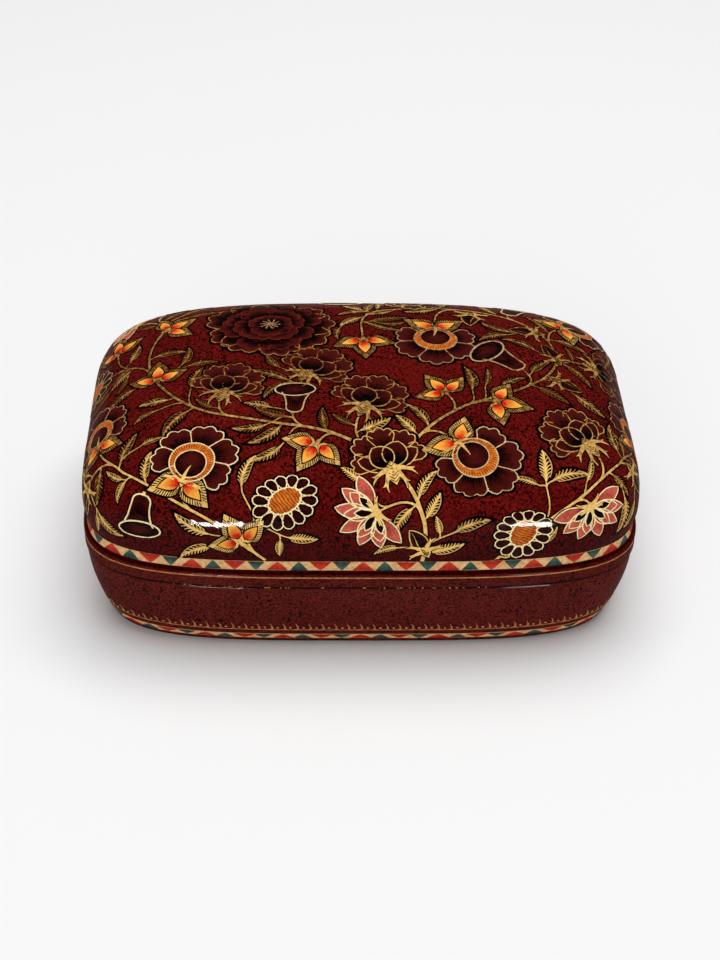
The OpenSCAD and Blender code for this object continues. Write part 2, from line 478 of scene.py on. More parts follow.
skirt, bore = RIM_RELIEF + COAT, 3.767
swell = [flat(skirt - SWELL * math.sin(math.radians(a)), SKIRT_TOP + SWELL_HEIGHT * a / 90)
         for a in np.linspace(3, 87, 15)]
outer_dome = dome(RIM_RELIEF - SWELL + COAT, WIDEST, CROWN - COAT - WIDEST, 58)
lid_levels = (dome(bore, WIDEST, CROWN - WALL - WIDEST, 40, 1)[::-1]
              + [flat(bore, z, 1) for z in (34, 31, 28)]
              + arc(bore - CORNER, LID_FOOT + CORNER, CORNER, 0, -90, 1)
              + [flat(skirt + 0.05, LID_FOOT), flat(skirt, LID_FOOT + 0.05)]
              + [flat(skirt, z) for z in (25.7, 27.7, 29.7, 31.4, SKIRT_TOP)]
              + swell + outer_dome)
lid = lofted("lid_dome", lid_levels, lid_lacquer)
rim_face, rim_back = 0.1, RIM_RELIEF + 0.5
rim_arc = rim_face + RIM_ROUND
rim = lofted("rim_strip", [flat(rim_back, RIM_TOP - 0.1), flat(rim_back, LID_FOOT + 0.1)]
             # The rim's underside is darkened as painted shade in the parting line.
             + arc(rim_arc, LID_FOOT + RIM_ROUND, RIM_ROUND, 270, 200, 1)
             + [flat(rim_face, LID_FOOT + 0.42)]
             + arc(rim_arc, RIM_TOP - RIM_ROUND, RIM_ROUND, 180, 90)
             + [flat(rim_back, RIM_TOP - 0.1)], rim_lacquer)

for piece, node in ((base, "base_shell"), (collar, "base_collar"), (lid, "lid_shell"),
                    (rim, "lid_rim")):
    body = "base" if node.startswith("base") else "lid"
    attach(piece, body)
    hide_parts(node)

# %% [markdown]
# ## Paint
# Brushed lines on the real box are a third of a millimetre wide, too fine for a picture on
# its surface to hold. So every stroke is drawn flat as a small sheet of faces, and one node
# group beds it in the lacquer: it finds the nearest place on the ground coat, sinks the
# stroke's underside into it, lifts its top by the paint's thickness and closes the sides.

# %% Bed flat strokes in the lacquer
WELD = 0.0005 * MM
CRISP_ANGLE = 0.6
PAINT_INPUTS = {"Ground": "Object", "Depth": "Float", "Unsteadiness": "Float", "Paint": "Material"}


def ground_and_outward(tree, given):
    """The ground coat, and its outward direction at the place nearest to each point."""
    ground = wire(tree, "GeometryNodeObjectInfo", {"Object": given["Ground"]}, "Geometry")
    return ground, wire(tree, "GeometryNodeSampleNearestSurface", {
        0: ground, "Value": named(tree, "outward", "FLOAT_VECTOR")}, data_type="FLOAT_VECTOR")


def bedded(tree, given, strokes):
    """Nodes that turn flat strokes into thin closed paint on the lacquer."""
    ground, outward = ground_and_outward(tree, given)
    drift = wire(tree, "ShaderNodeTexNoise", {"Scale": 260.0, "Detail": 1.0}, 1)
    drift = wire(tree, "ShaderNodeVectorMath", {0: drift, 1: (0.5, 0.5, 0.5)}, operation="SUBTRACT")
    drift = wire(tree, "ShaderNodeVectorMath", {0: drift, "Scale": given["Unsteadiness"]},
                 operation="SCALE")
    strokes = wire(tree, "GeometryNodeMergeByDistance", {"Geometry": strokes, "Distance": WELD})
    flat_strokes = wire(tree, "GeometryNodeSetPosition", {"Geometry": strokes, "Offset": drift})
    under = wire(tree, "GeometryNodeProximity", {0: ground}, "Position", target_element="FACES")

    def lifted(geometry, height, **selection):
        step = wire(tree, "ShaderNodeVectorMath", {0: outward, "Scale": height}, operation="SCALE")
        spot = wire(tree, "ShaderNodeVectorMath", {0: under, 1: step}, operation="ADD")
        return wire(tree, "GeometryNodeSetPosition", {
            "Geometry": geometry, "Position": spot, **selection})

    sunk = lifted(flat_strokes, given["Depth"] * -1)
    raised = add(tree, "GeometryNodeExtrudeMesh", {"Mesh": sunk, "Offset Scale": 0.0,
                                                   "Individual": False}, mode="FACES")
    top = lifted(Field(tree, raised.outputs["Mesh"]), named(tree, "lift"),
                 Selection=Field(tree, raised.outputs["Top"]))
    bottom = wire(tree, "GeometryNodeFlipFaces", {"Mesh": sunk})
    closed = add(tree, "GeometryNodeJoinGeometry")
    for part in (bottom, top):
        tree.links.new(part.socket, closed.inputs[0])
    welded = wire(tree, "GeometryNodeMergeByDistance", {
        "Geometry": Field(tree, closed.outputs[0]), "Distance": WELD})
    crisp = wire(tree, "FunctionNodeCompare", {
        "A": wire(tree, "GeometryNodeInputMeshEdgeAngle"), "B": CRISP_ANGLE}, operation="LESS_THAN")
    smooth = wire(tree, "GeometryNodeSetShadeSmooth", {"Geometry": welded})
    return wire(tree, "GeometryNodeSetShadeSmooth", {"Geometry": smooth, "Shade Smooth": crisp},
                domain="EDGE")


def along_surface(tree, outward):
    """The turn that lays a motif on the ground, with its length along the named direction."""
    return wire(tree, "FunctionNodeAxesToRotation", {
        "Primary Axis": outward, "Secondary Axis": named(tree, "ahead", "FLOAT_VECTOR")},
        primary_axis="Z", secondary_axis="X")


def painted(name, tree, start, colour, ground, unsteady, **inputs):
    """Runs a tree that ends in bedded strokes. The brush is unsteady by some millimetres."""
    return grown(name, tree, start, {"Ground": ground, "Depth": 0.1 * MM,
                                     "Unsteadiness": unsteady * MM, "Paint": PAINTS[colour],
                                     **inputs})

# %% [markdown]
# ## The borders
# A band of cream runs round the lid over the rim, with red and green triangles that point up
# and down in turn. The base has a low band of the same kind, and above it a gold edging of
# thorns, each with a dot beside it. All of these follow the plan, so one tree walks round a
# closed path and sets a motif down at even steps.

# %% Tree: set a motif along a path
border, given = new_tree("border along a path", {
    "Motif": "Object", "Places": "Int", "Every": "Int", "First": "Int", "Turn in pairs": "Float",
    "Unevenness": "Float", **PAINT_INPUTS})
walk = wire(border, "GeometryNodeResampleCurve", {
    "Curve": wire(border, "GeometryNodeMeshToCurve", {0: given["Geometry"]}),
    "Count": given["Places"]}, mode="COUNT")
number = wire(border, "GeometryNodeInputIndex")
turn = (number.calc("MODULO", given["Every"] * 2) / given["Every"]).calc("FLOOR")
chosen = number.calc("MODULO", given["Every"]).calc("COMPARE", given["First"], 0.1)
facing = along_surface(border, ground_and_outward(border, given)[1])
spin = wire(border, "ShaderNodeCombineXYZ", {"Z": turn * given["Turn in pairs"] * math.pi})
facing = wire(border, "FunctionNodeRotateRotation", {0: facing, 1: spin}, rotation_space="LOCAL")
size = wire(border, "FunctionNodeRandomValue", {
    "Min": given["Unevenness"] * -1 + 1, "Max": given["Unevenness"] + 1, "Seed": 7},
    data_type="FLOAT")
motif = wire(border, "GeometryNodeObjectInfo", {"Object": given["Motif"]}, "Geometry")
marked = wire(border, "GeometryNodeStoreNamedAttribute", {
    "Geometry": walk, "Name": "ahead", "Value": wire(border, "GeometryNodeInputTangent")},
    data_type="FLOAT_VECTOR", domain="POINT")
set_down = wire(border, "GeometryNodeInstanceOnPoints", {
    "Points": marked, "Selection": chosen, "Instance": motif, "Rotation": facing, "Scale": size})
real = wire(border, "GeometryNodeRealizeInstances", {0: set_down})
end_tree(border, bedded(border, given, real), given["Paint"])

# %% [markdown]
# ## The brush
# A flat motif is easiest to draw with complex numbers: the real part runs ahead, the
# imaginary part to the left, and multiplying by a power of e turns it. A motif keeps its
# strokes apart by paint, because each paint becomes one piece of the model. Every point
# carries its height over the lacquer and a shade from 0 to 1, which the paint's material
# turns into colour.

# %% Sheets and strokes
class Motif:
    def __init__(self):
        self.paints = {}

    def sheet(self, paint, grid, lift, shade):
        """A sheet of faces over a grid of points. The lift is in millimetres."""
        points, faces, lifts, shades = self.paints.setdefault(paint, ([], [], [], []))
        side, step = grid[:-1, 1:] - grid[:-1, :-1], grid[1:, :-1] - grid[:-1, :-1]
        upward = np.sum((np.conj(side) * step).imag) > 0
        rows, columns = grid.shape
        number = len(points) + np.arange(rows * columns).reshape(grid.shape)
        corners = [number[:-1, :-1], number[:-1, 1:], number[1:, 1:], number[1:, :-1]]
        corners = np.stack(corners if upward else corners[::-1], -1).reshape(-1, 4)
        faces.extend(corners.tolist())
        points.extend(grid.ravel())
        lifts.extend([lift * MM] * grid.size)
        shades.extend(np.broadcast_to(shade, grid.shape).ravel())

    def between(self, paint, left, right, lift, shade, columns=4):
        """A sheet between two edges."""
        share = np.linspace(0, 1, columns)
        self.sheet(paint, left[:, None] + (right - left)[:, None] * share, lift, shade)

    def stroke(self, paint, path, width, lift, shade=0.5):
        """A brush stroke along a path. The width may change along it."""
        path = np.asarray(path, complex)
        across = np.gradient(path)
        across = 0.5j * np.asarray(width) * across / abs(across)
        self.between(paint, path + across, path - across, lift, shade, 2)

    def mesh(self, name, paint):
        points, faces, lifts, shades = self.paints.get(paint, ([], [], [], []))
        spots = [(p.real, p.imag, 0) for p in points]
        return mesh_of(name, spots, (), faces, lift=np.array(lifts, float),
                       shade=np.array(shades, float))


def ahead(degrees):
    return np.exp(1j * np.radians(degrees))


def bend(a, b, c, d, count=12):
    """A curve from a to d that leaves toward b and arrives from c."""
    t = np.linspace(0, 1, count)
    return a * (1 - t) ** 3 + 3 * b * t * (1 - t) ** 2 + 3 * c * t * t * (1 - t) + d * t ** 3


def brushed(width, count, start=0.4, end=0.15):
    """Widths of a stroke that swells soon after it starts and runs out thin."""
    return width * np.interp(np.linspace(0, 1, count), [0, 0.3, 1], [start, 1, end])


def blade(spine, half, early, full):
    """Left and right edges of a leaf about its spine."""
    t = np.linspace(0, 1, len(spine))
    wide = half * np.clip(np.sin(np.pi * t ** early), 0, 1) ** full + 0.01
    side = np.gradient(spine)
    side = 1j * wide * side / abs(side)
    return spine + side, spine - side

# %% [markdown]
# ## Band triangles and gold edging
# The triangles are drawn by hand, so each one is a little larger or smaller than the next.
# The edging is one unit long: a thorn that leans back and flares into the line below, and a
# dot under its shoulder.

# %% Motifs of the borders
def band_triangle(paint, half, height):
    drawn = Motif()
    rise = np.linspace(0, 1, 5)
    wide = half * (1 - rise) ** 0.85 + 0.08
    level = 1j * height * (rise - 0.5)
    drawn.between(paint, level - wide, level + wide, 0.13, rise[:, None], 6)
    return drawn


def edging_unit():
    drawn = Motif()
    thorn = bend(0.1 + 0.1j, 0.35 + 1.1j, 0.2 + 1.9j, -0.4 + 2.9j, 7)
    drawn.stroke("edging", thorn, brushed(0.5, 7, 1.1, 0.15), 0.12)
    for side in (-1, 1):
        flare = bend(0.1 + 0.7j, 0.2 + 0.2j, side * 0.6 + 0.06j, side * 1.3, 7)
        drawn.stroke("edging", flare, np.linspace(0.36, 0.16, 7), 0.12)
    dot = np.linspace(-2.05, -1.4, 5) + 1.0j
    drawn.stroke("edging", dot, 0.6 * np.sin(np.linspace(0.35, 2.8, 5)), 0.12, 0.8)
    return drawn

# %% [markdown]
# ## The paints
# A brush leaves more paint in one place than in the next. So each paint has a low and a high
# colour, the stroke's own shade chooses between them, and a fine noise streaks it. Gold and
# cream also carry a painted highlight: they are made lighter where the lid faces front or back
# and darker on the crown and the ends, standing in for light that falls on them there.

# %% Materials of the paints
def paint(name, low, high, streak=0.5, roughness=0.22, painted_sheens=False):
    """Paint that goes from one colour to another by its shade, streaked by the brush, with a
    painted highlight added if it takes one.
    """
    material, tree, shader = new_material(name, roughness)
    value = wire(tree, "ShaderNodeAttribute", (), "Fac", attribute_name="shade")
    value = value + stepped(tree, noise(tree, 900.0, 3.0, 0.6), 0.3, 0.7, -streak, streak)
    # Painted highlight: gold and cream are lightened where the lid faces front or back and darkened
    # on the crown.
    if painted_sheens:
        value = value + wire(tree, "ShaderNodeAttribute", (), "Fac", attribute_name="glow")
    share = stepped(tree, value, 0.0, 1.0)
    tree.links.new(mixed(tree, share, low, high).socket, shader.inputs["Base Color"])
    wavy(tree, shader)
    return material


PAINTS = {
    "shadow": paint("shadow_paint", rgb(5, 1, 1), rgb(24, 6, 4), 0.2),
    "petal": paint("petal_paint", rgb(4, 1, 1), rgb(74, 17, 13), 0.25),
    "pink": paint("pink_paint", rgb(146, 42, 34), rgb(206, 100, 82), 0.35),
    "ember": paint("ember_paint", rgb(100, 30, 20), rgb(150, 48, 12)),
    "orange": paint("orange_paint", rgb(164, 56, 10), rgb(228, 136, 46), 0.4),
    "flame": paint("flame_paint", rgb(204, 24, 12), rgb(240, 168, 66), 0.25),
    # Gold and cream take the painted highlight.
    "gold": paint("gold_paint", rgb(106, 60, 22), rgb(246, 198, 112), 0.35, 0.3, True),
    "cream": paint("cream_paint", rgb(130, 76, 30), rgb(255, 236, 176), 0.25, 0.26, True),
    "edging": paint("edging_paint", rgb(132, 74, 42), rgb(218, 150, 94), 0.4, 0.3),
    "band": paint("band_paint", rgb(204, 146, 92), rgb(244, 202, 142)),
    "red": paint("red_paint", rgb(164, 34, 24), rgb(208, 66, 48), 0.4),
    "green": paint("green_paint", rgb(36, 62, 56), rgb(74, 104, 92), 0.4),
}

# %% Paths round the plan
def plan_loop(inset, count):
    """Points round the plan, an even step apart, as complex numbers in millimetres."""
    t = np.linspace(0, 2 * np.pi, 4001)
    c, s = np.cos(t), np.sin(t)
    loop = ((HALF_LENGTH - inset) * np.sign(c) * abs(c) ** (2 / SIDE_POWER)
            + 1j * (HALF_WIDTH - inset) * np.sign(s) * abs(s) ** (2 / END_POWER))
    walked = np.concatenate([[0], np.cumsum(abs(np.diff(loop)))])
    spots = np.linspace(0, walked[-1], count, endpoint=False)
    return np.interp(spots, walked, loop.real) + 1j * np.interp(spots, walked, loop.imag)


def path_round(inset, z):
    loop = plan_loop(inset, 400)
    points = np.stack([loop.real, loop.imag, np.full(len(loop), z)], -1)
    return mesh_of("path", points, [(i, (i + 1) % len(loop)) for i in range(len(loop))])


def hidden_object(name, mesh):
    """An object that only a tree reads. It isn't in the scene."""
    return bpy.data.objects.new(name, mesh)


def bordered(name, motif, colour, inset, z, places, ground, every=1, first=0, turn=0.0):
    """Motifs set along the plan at a height, or only at every so many places from a first."""
    drawn = hidden_object("motif", motif.mesh("motif", colour))
    piece = painted(name, border, path_round(inset, z), colour, ground, 0.12, **{
        "Motif": drawn, "Places": places, "Every": every, "First": first,
        "Turn in pairs": turn, "Unevenness": 0.06})
    bpy.data.objects.remove(drawn)
    return piece

# %% [markdown]
# ## Bands, lines, worn gold and painted glints
# A band or a line needs no motif. Its faces are made in the script between two loops of the
# plan, and the tree only beds them. The edge of the base has short broken dashes of the same
# kind, in a few clusters: partly worn gold, partly painted glints where the rounded edge
# catches the light.

# %% Tree: flat bands round the plan
ring, given = new_tree("band round the plan", PAINT_INPUTS)
end_tree(ring, bedded(ring, given, given["Geometry"]), given["Paint"])


def band_round(name, colour, inset_at, low, high, ground, lift, rows=3, unsteady=0.06):
    """A painted band between two heights on a wall whose inset is given by a function."""
    levels, count = np.linspace(low, high, rows), 600
    grid = np.array([[(p.real, p.imag, z) for z, p in zip(levels, column)]
                     for column in zip(*[plan_loop(inset_at(z), count) for z in levels])])
    number = np.arange(count * rows).reshape(count, rows)
    after = np.roll(number, -1, 0)
    faces = np.stack([number[:, :-1], after[:, :-1], after[:, 1:], number[:, 1:]], -1)
    start = mesh_of(name, grid, (), faces.reshape(-1, 4).tolist(),
                    lift=np.full(count * rows, lift * MM), shade=np.full(count * rows, 0.5))
    return painted(name, ring, start, colour, ground, unsteady)


def worn_gold_and_painted_glints(name, colour, inset, z, width, ground):
    """Short dashes in a few clusters on an edge: partly worn gold, partly painted glints of light.
    """
    wear_and_glint_chance, count, dashes = np.random.default_rng(5), 3000, 70
    # The clusters place painted glints where the edge catches the light, among dashes of worn gold.
    clusters = (1990, 2080, 2330, 2420, 560, 900, 2960)
    low, high = plan_loop(inset, count), plan_loop(inset + width, count)
    starts = wear_and_glint_chance.choice(clusters, dashes) + wear_and_glint_chance.normal(0, 40, dashes)
    points, faces, shades = [], [], []
    for start, steps in zip(starts.astype(int), wear_and_glint_chance.integers(3, 7, dashes)):
        number = np.arange(start, start + steps) % count
        first = len(points)
        points.extend((p.real, p.imag, z) for p in low[number])
        points.extend((p.real, p.imag, z + width) for p in high[number])
        faces.extend((first + k, first + k + 1, first + steps + k + 1, first + steps + k)
                     for k in range(steps - 1))
        shades.extend([wear_and_glint_chance.uniform(0.1, 1.0)] * 2 * steps)
    start = mesh_of(name, points, (), faces, lift=np.full(len(points), 0.05 * MM),
                    shade=np.array(shades))
    return painted(name, ring, start, colour, ground, 0.05)

# %% Lay the borders
def skirt_inset(z):
    return skirt


def rim_inset(z):
    return rim_face


lid_band = [
    band_round("lid_band_cream", "band", skirt_inset, 29.0, 31.9, lid, 0.06),
    bordered("lid_band_red", band_triangle("red", 2.75, 2.75), "red", RIM_RELIEF, 30.45, 80, lid,
             2, 0, 1.0),
    bordered("lid_band_green", band_triangle("green", 2.2, 2.75), "green", RIM_RELIEF, 30.45, 80,
             lid, 2, 1, 1.0),
]
rim_lines = [
    band_round("rim_line", "edging", rim_inset, 26.96, 27.32, rim, 0.05, 2, 0.14),
]
base_borders = [
    # Worn gold and painted glints on the base's upper edge.
    worn_gold_and_painted_glints("base_edge_wear", "gold", 0.67, 23.15, 0.13, base),
    bordered("base_edging", edging_unit(), "edging", wall_inset(6.1), 6.1, 124, base),
    band_round("base_line", "edging", wall_inset, 5.96, 6.16, base, 0.08, 2, 0.12),
    band_round("base_band_cream", "band", wall_inset, 1.9, 4.0, base, 0.06, 4),
    bordered("base_band_red", band_triangle("red", 2.9, 1.9), "red", wall_inset(2.95), 2.95, 80,
             base, 2, 0, 1.0),
    bordered("base_band_green", band_triangle("green", 2.4, 1.9), "green", wall_inset(2.95), 2.95,
             80, base, 2, 1, 1.0),
]
for pieces, body, slot in ((lid_band, "lid", "lid_lacquer"), (rim_lines, "lid", "rim_lacquer"),
                           (base_borders, "base", "base_lacquer")):
    for piece in pieces:
        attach(piece, body)

# %% [markdown]
# ## Leaves
# Each leaf starts as a black shape a little larger than the leaf. Gold goes over it in one
# vein and two rows of slanting strokes, close together on one half and open on the other, so
# that the black shows between them and along the edge.

# %% Draw a leaf
def leaf(curl, length=9.6, half=1.45, shade=0.38):
    drawn = Motif()

    def along(t):
        return length * (t + 0.42j * curl * (t ** 2 - 0.35 * t))

    left, right = blade(along(np.linspace(-0.06, 1.16, 17)), half + 0.6, 0.86, 0.85)
    drawn.between("shadow", left, right, 0.035, 0.05, 3)
    t = np.linspace(0, 1, 17)
    spine = along(t)
    left, right = blade(spine, half, 0.84, 0.8)
    for side, number, thick in ((left, 9, 0.4), (right, 8, 0.36)):
        for k, start in enumerate(np.linspace(0, 0.78, number)):
            root, tip = (np.interp(place, t, edge.real) + 1j * np.interp(place, t, edge.imag)
                         for place, edge in ((start, spine), (start + 0.19, side)))
            bow = 0.5 * (root + tip) + 0.22 * (tip - root) * 1j * np.sign(((tip - root) * 1j).real)
            drawn.stroke("gold", [root, 0.6 * bow + 0.2 * (root + tip), tip],
                         [thick, thick, 0.5 * thick], 0.07, shade - 0.12 + 0.08 * (k * 3 % 5))
    drawn.stroke("gold", spine, brushed(0.4, 17, 1.2, 0.5), 0.08, shade + 0.3)
    drawn.stroke("gold", right[2::2], brushed(0.24, 8, 0.8, 0.6), 0.075, shade + 0.05)
    return drawn

# %% [markdown]
# ## Blossoms
# The spray is put together from the stock of flowers that painters of such boxes share:
# dark blossoms with scalloped petals and pale outlines, ring blossoms with an orange collar,
# drops of flame in black, daisies, pink lotus, trumpets and buds. Each is a function of this
# script, so that it can be set anywhere on the lid.

# %% Parts of blossoms
LOBES = 3


def fan(centre, facing, reach, spread, shares):
    """A grid over a petal, from near its root to its scalloped edge."""
    turn = np.linspace(-1, 1, 4 * LOBES + 1)
    edge = 1 - 0.15 * turn ** 2 + 0.09 * abs(np.sin(np.pi * LOBES * (turn + 1) / 2))
    angle = facing + spread * turn[:, None] * (0.62 + 0.38 * shares ** 0.7)
    return centre + reach * shares * edge[:, None] * ahead(angle)


def petal(drawn, centre, facing, reach, spread, inner, lift, line="cream", hairs=6):
    """A dark petal with black hair strokes from its root, a pale outline and a black halo."""
    halo = fan(centre, facing, reach + 0.8, spread + 3.5, np.linspace(0.75, 1, 3))
    drawn.sheet("shadow", halo, 0.065, 0.05)
    shares = np.linspace(inner, 1, 5)
    grid = fan(centre, facing, reach, spread, shares)
    glowing = np.clip((shares - inner) / (0.85 - 0.85 * inner), 0, 1)
    drawn.sheet("petal", grid, lift, glowing ** 1.6)
    for k in range(hairs):
        place = -0.75 + 1.5 * (k + 0.5) / hairs
        start, end = (inner + share * (1 - inner) for share in (0.03, 0.5 + 0.14 * (k % 2)))
        root = centre + reach * start * ahead(facing + spread * place * 0.78)
        tip = centre + reach * end * ahead(facing + spread * place * 0.93)
        drawn.stroke("shadow", np.linspace(root, tip, 3), [0.5, 0.4, 0.08], lift + 0.02, 0.05)
    if line:
        outline = grid[:, -1]
        if facing <= 0:
            outline = np.concatenate([grid[0, 1:-1], outline])
        if facing >= 0:
            outline = np.concatenate([outline, grid[-1, -2:0:-1]])
        drawn.stroke(line, outline, brushed(0.3, len(outline), 0.75, 0.7), lift + 0.03, 0.6)


def oval_petal(drawn, root, facing, length, half, lift):
    """A smooth pointed petal, black at its root."""
    spine = root + np.linspace(0, length, 11) * ahead(facing)
    left, right = blade(spine, half, 0.95, 0.6)
    drawn.between("petal", left, right, lift, np.linspace(-0.5, 0.9, 11)[:, None])
    for k in (-0.55, -0.18, 0.2, 0.57):
        path = (spine + (left - spine) * k)[1:7:2]
        drawn.stroke("shadow", path, [0.4, 0.35, 0.08], lift + 0.01, 0.05)
    drawn.stroke("gold", np.concatenate([left, right[-2::-1]]), 0.28, lift + 0.016, 0.6)


def disc(drawn, colour, centre, wide, high, lift, shade, turned=0.0):
    """Fills an ellipse, and returns its edge for an outline."""
    around = np.radians(np.linspace(0, 360, 29))
    share = np.linspace(0.02, 1, 4)
    edge = wide * np.cos(around) + 1j * high * np.sin(around)
    edge[-1] = edge[0]
    drawn.sheet(colour, centre + edge[:, None] * share * ahead(turned), lift, shade)
    return centre + edge * ahead(turned)


def closed_line(drawn, colour, loop, width, shade=0.6):
    """An outline that meets itself."""
    tangent = np.roll(loop[:-1], -1) - np.roll(loop[:-1], 1)
    side = 0.5j * width * tangent / abs(tangent)
    side = np.append(side, side[0])
    drawn.between(colour, loop + side, loop - side, 0.165, shade, 2)


def flame_drop(drawn, base, facing, scale):
    """A drop of red and yellow in black, held in a gold sepal with a notched edge."""
    turn = scale * ahead(facing)
    t = np.linspace(0, 1, 15)
    for colour, start, end, half, lift, shade in (
            ("shadow", -0.3, 9.1, 3.15, 0.105, 0.05), ("gold", 0, 8.3, 2.75, 0.125, 0.6),
            ("shadow", 0.7, 6.3, 1.8, 0.155, 0.05)):
        left, right = blade(start + (end - start) * t, half, 0.7, 1.05)
        drawn.between(colour, base + turn * left, base + turn * right, lift, shade)
    left, right = blade(8.3 * t, 2.75, 0.7, 1.05)
    for side in (left, right):
        for place in np.linspace(0.14, 0.86, 12):
            out = np.interp(place, t, side.real) + 1j * np.interp(place, t, side.imag)
            notch = np.linspace(out.real - 1.0 + 0.6j * out.imag, out, 3)
            drawn.stroke("shadow", base + turn * notch, 0.2 * scale, 0.14, 0.05)
    left, right = blade(np.linspace(1.0, 5.8, 13), 1.42, 0.64, 0.9)
    drawn.between("flame", base + turn * left, base + turn * right, 0.178,
                  np.linspace(-0.3, 1.5, 13)[:, None] + np.array([0.3, 0, 0, 0.3]))


def sepals(drawn, base, facings, length, width, curl):
    """Gold sepals that curl away from the stem and fork before the tip."""
    for facing in facings:
        out = ahead(facing)
        swing = curl * np.sign(facing) * 1j
        path = bend(base, base + 0.4 * length * out, base + length * 0.75 * out * (1 + 0.2 * swing),
                    base + length * out * (1 + swing), 9)
        tip = base + length * out * (0.92 + 0.15 * swing)
        fork = bend(path[4], path[5], 0.5 * (path[6] + tip), tip, 5)
        for line, thick in ((path, 1.2), (fork, 0.8)):
            count = len(line)
            drawn.stroke("shadow", line, brushed(width * thick + 0.5, count, 0.7, 0.3), 0.145, 0.05)
            drawn.stroke("gold", line, brushed(width * thick, count, 0.6, 0.12), 0.178, 0.7)


def calyx(drawn, start, end, half):
    """A gold bulb with dark ribs where a flower meets its stalk."""
    left, right = blade(np.linspace(start - 0.3, end + 0.3, 9), half + 0.4, 1.2, 0.9)
    drawn.between("shadow", left, right, 0.145, 0.05)
    left, right = blade(np.linspace(start, end, 9), half, 1.2, 0.9)
    drawn.between("gold", left, right, 0.165, 0.65)
    for k in np.linspace(start + 0.8, end - 1.2, 6):
        for side in (-1, 1):
            drawn.stroke("shadow", [k, k + 0.9 + side * 0.6j * half], 0.17, 0.18, 0.05)

# %% Draw the blossoms
def ring_blossom():
    drawn = Motif()
    centre = 5.6
    for facing, reach in ((-104, 8.7), (104, 8.7), (-52, 9.8), (52, 9.8), (0, 10.3)):
        petal(drawn, centre, facing, reach, 27, 0.36, 0.085 + 0.003 * (abs(facing) % 7))
    disc(drawn, "petal", centre, 4.2, 4.2, 0.115, np.array([0.9, 0.7, 0.3, 0.05]))
    around = ahead(np.linspace(0, 360, 49))
    around[-1] = around[0]
    outer, inner = centre + 5.0 * around, centre - 0.75 + 3.5 * around
    drawn.between("orange", outer, inner, 0.13, np.array([0.85, 0.5, 0.25]), 3)
    for k in range(48):
        drawn.stroke("ember", 0.95 * outer[k] + 0.05 * inner[k]
                     + np.linspace(0, 0.6, 3) * (inner[k] - outer[k]), [0.1, 0.22, 0.1], 0.148, 0.4)
    closed_line(drawn, "cream", outer, 0.26)
    closed_line(drawn, "cream", inner, 0.24)
    flame_drop(drawn, 0.6, 124, 0.98)
    flame_drop(drawn, 0.6, -120, 1.02)
    sepals(drawn, 0.3, (84, -86), 4.8, 0.9, 0.2)
    drawn.stroke("gold", bend(0.2, 1.6 + 0.3j, 2.8, 4.4 - 0.4j, 6), brushed(0.8, 6, 0.8), 0.18, 0.8)
    return drawn


def daisy():
    drawn = Motif()
    centre, wide, high = 8.6, 4.5, 3.2
    for angle in 2 * np.pi * (np.arange(14) + 0.5) / 14:
        root = centre + wide * math.cos(angle) + 1j * high * math.sin(angle)
        out = high * math.cos(angle) + 1j * wide * math.sin(angle)
        out = out / abs(out)
        left, right = blade(root + np.linspace(-0.4, 4.8, 9) * out, 2.0, 1.5, 0.5)
        drawn.between("shadow", left, right, 0.07, 0.05, 3)
        left, right = blade(root + np.linspace(-0.4, 4.1, 12) * out, 1.42, 1.5, 0.5)
        drawn.between("petal", left, right, 0.1, np.array([0.0, 0.45, 0.05]), 3)
        drawn.stroke("cream", np.concatenate([left, right[-2::-1]]), 0.3, 0.14, 0.7)
    loop = disc(drawn, "orange", centre, wide, high, 0.13, np.array([0.7, 0.65, 0.5, 0.4]))
    for k, level in enumerate(np.linspace(-0.85, 0.85, 11)):
        reach = 0.9 * high * math.sqrt(1 - level ** 2)
        line = centre + wide * level + 1j * np.linspace(-reach, reach, 7)
        drawn.stroke("ember", line + 0.16 * np.cos(1.6 * np.arange(7) + k), 0.22, 0.15, 0.7)
    closed_line(drawn, "cream", loop, 0.36, shade=0.7)
    drawn.stroke("gold", np.linspace(-0.3, 1.0, 4), brushed(0.7, 4), 0.12, 0.6)
    return drawn


def lotus():
    drawn = Motif()
    rows = ((np.linspace(-86, 86, 7), 8.6, 1.6, 0.09, "pink"),
            (np.linspace(-58, 58, 4), 6.6, 1.5, 0.115, "pink"),
            (np.linspace(-62, 62, 4), 4.4, 0.9, 0.135, "shadow"))
    for facings, length, half, lift, colour in rows:
        for facing in facings:
            spine = (0.8 + np.linspace(0, length, 12)) * ahead(facing)
            spine = spine * ahead(np.linspace(0, 7, 12) * np.sign(facing))
            if length > 8:
                drawn.between("shadow", *blade(1.07 * spine, half + 0.4, 1.15, 0.85), 0.07, 0.05, 3)
            left, right = blade(spine, half, 1.15, 0.85)
            drawn.between(colour, left, right, lift, np.linspace(0, 1, 12)[:, None])
            outline = np.concatenate([left[1:], right[-2:0:-1]])
            drawn.stroke("cream", outline, 0.27, lift + 0.03, 0.7)
    sepals(drawn, 0.2, (104, -104, 66, -66), 3.4, 0.8, 0.3)
    drawn.stroke("gold", np.linspace(-0.6, 2.4, 5), brushed(1.5, 5, 0.6, 0.3), 0.18, 0.7)
    return drawn


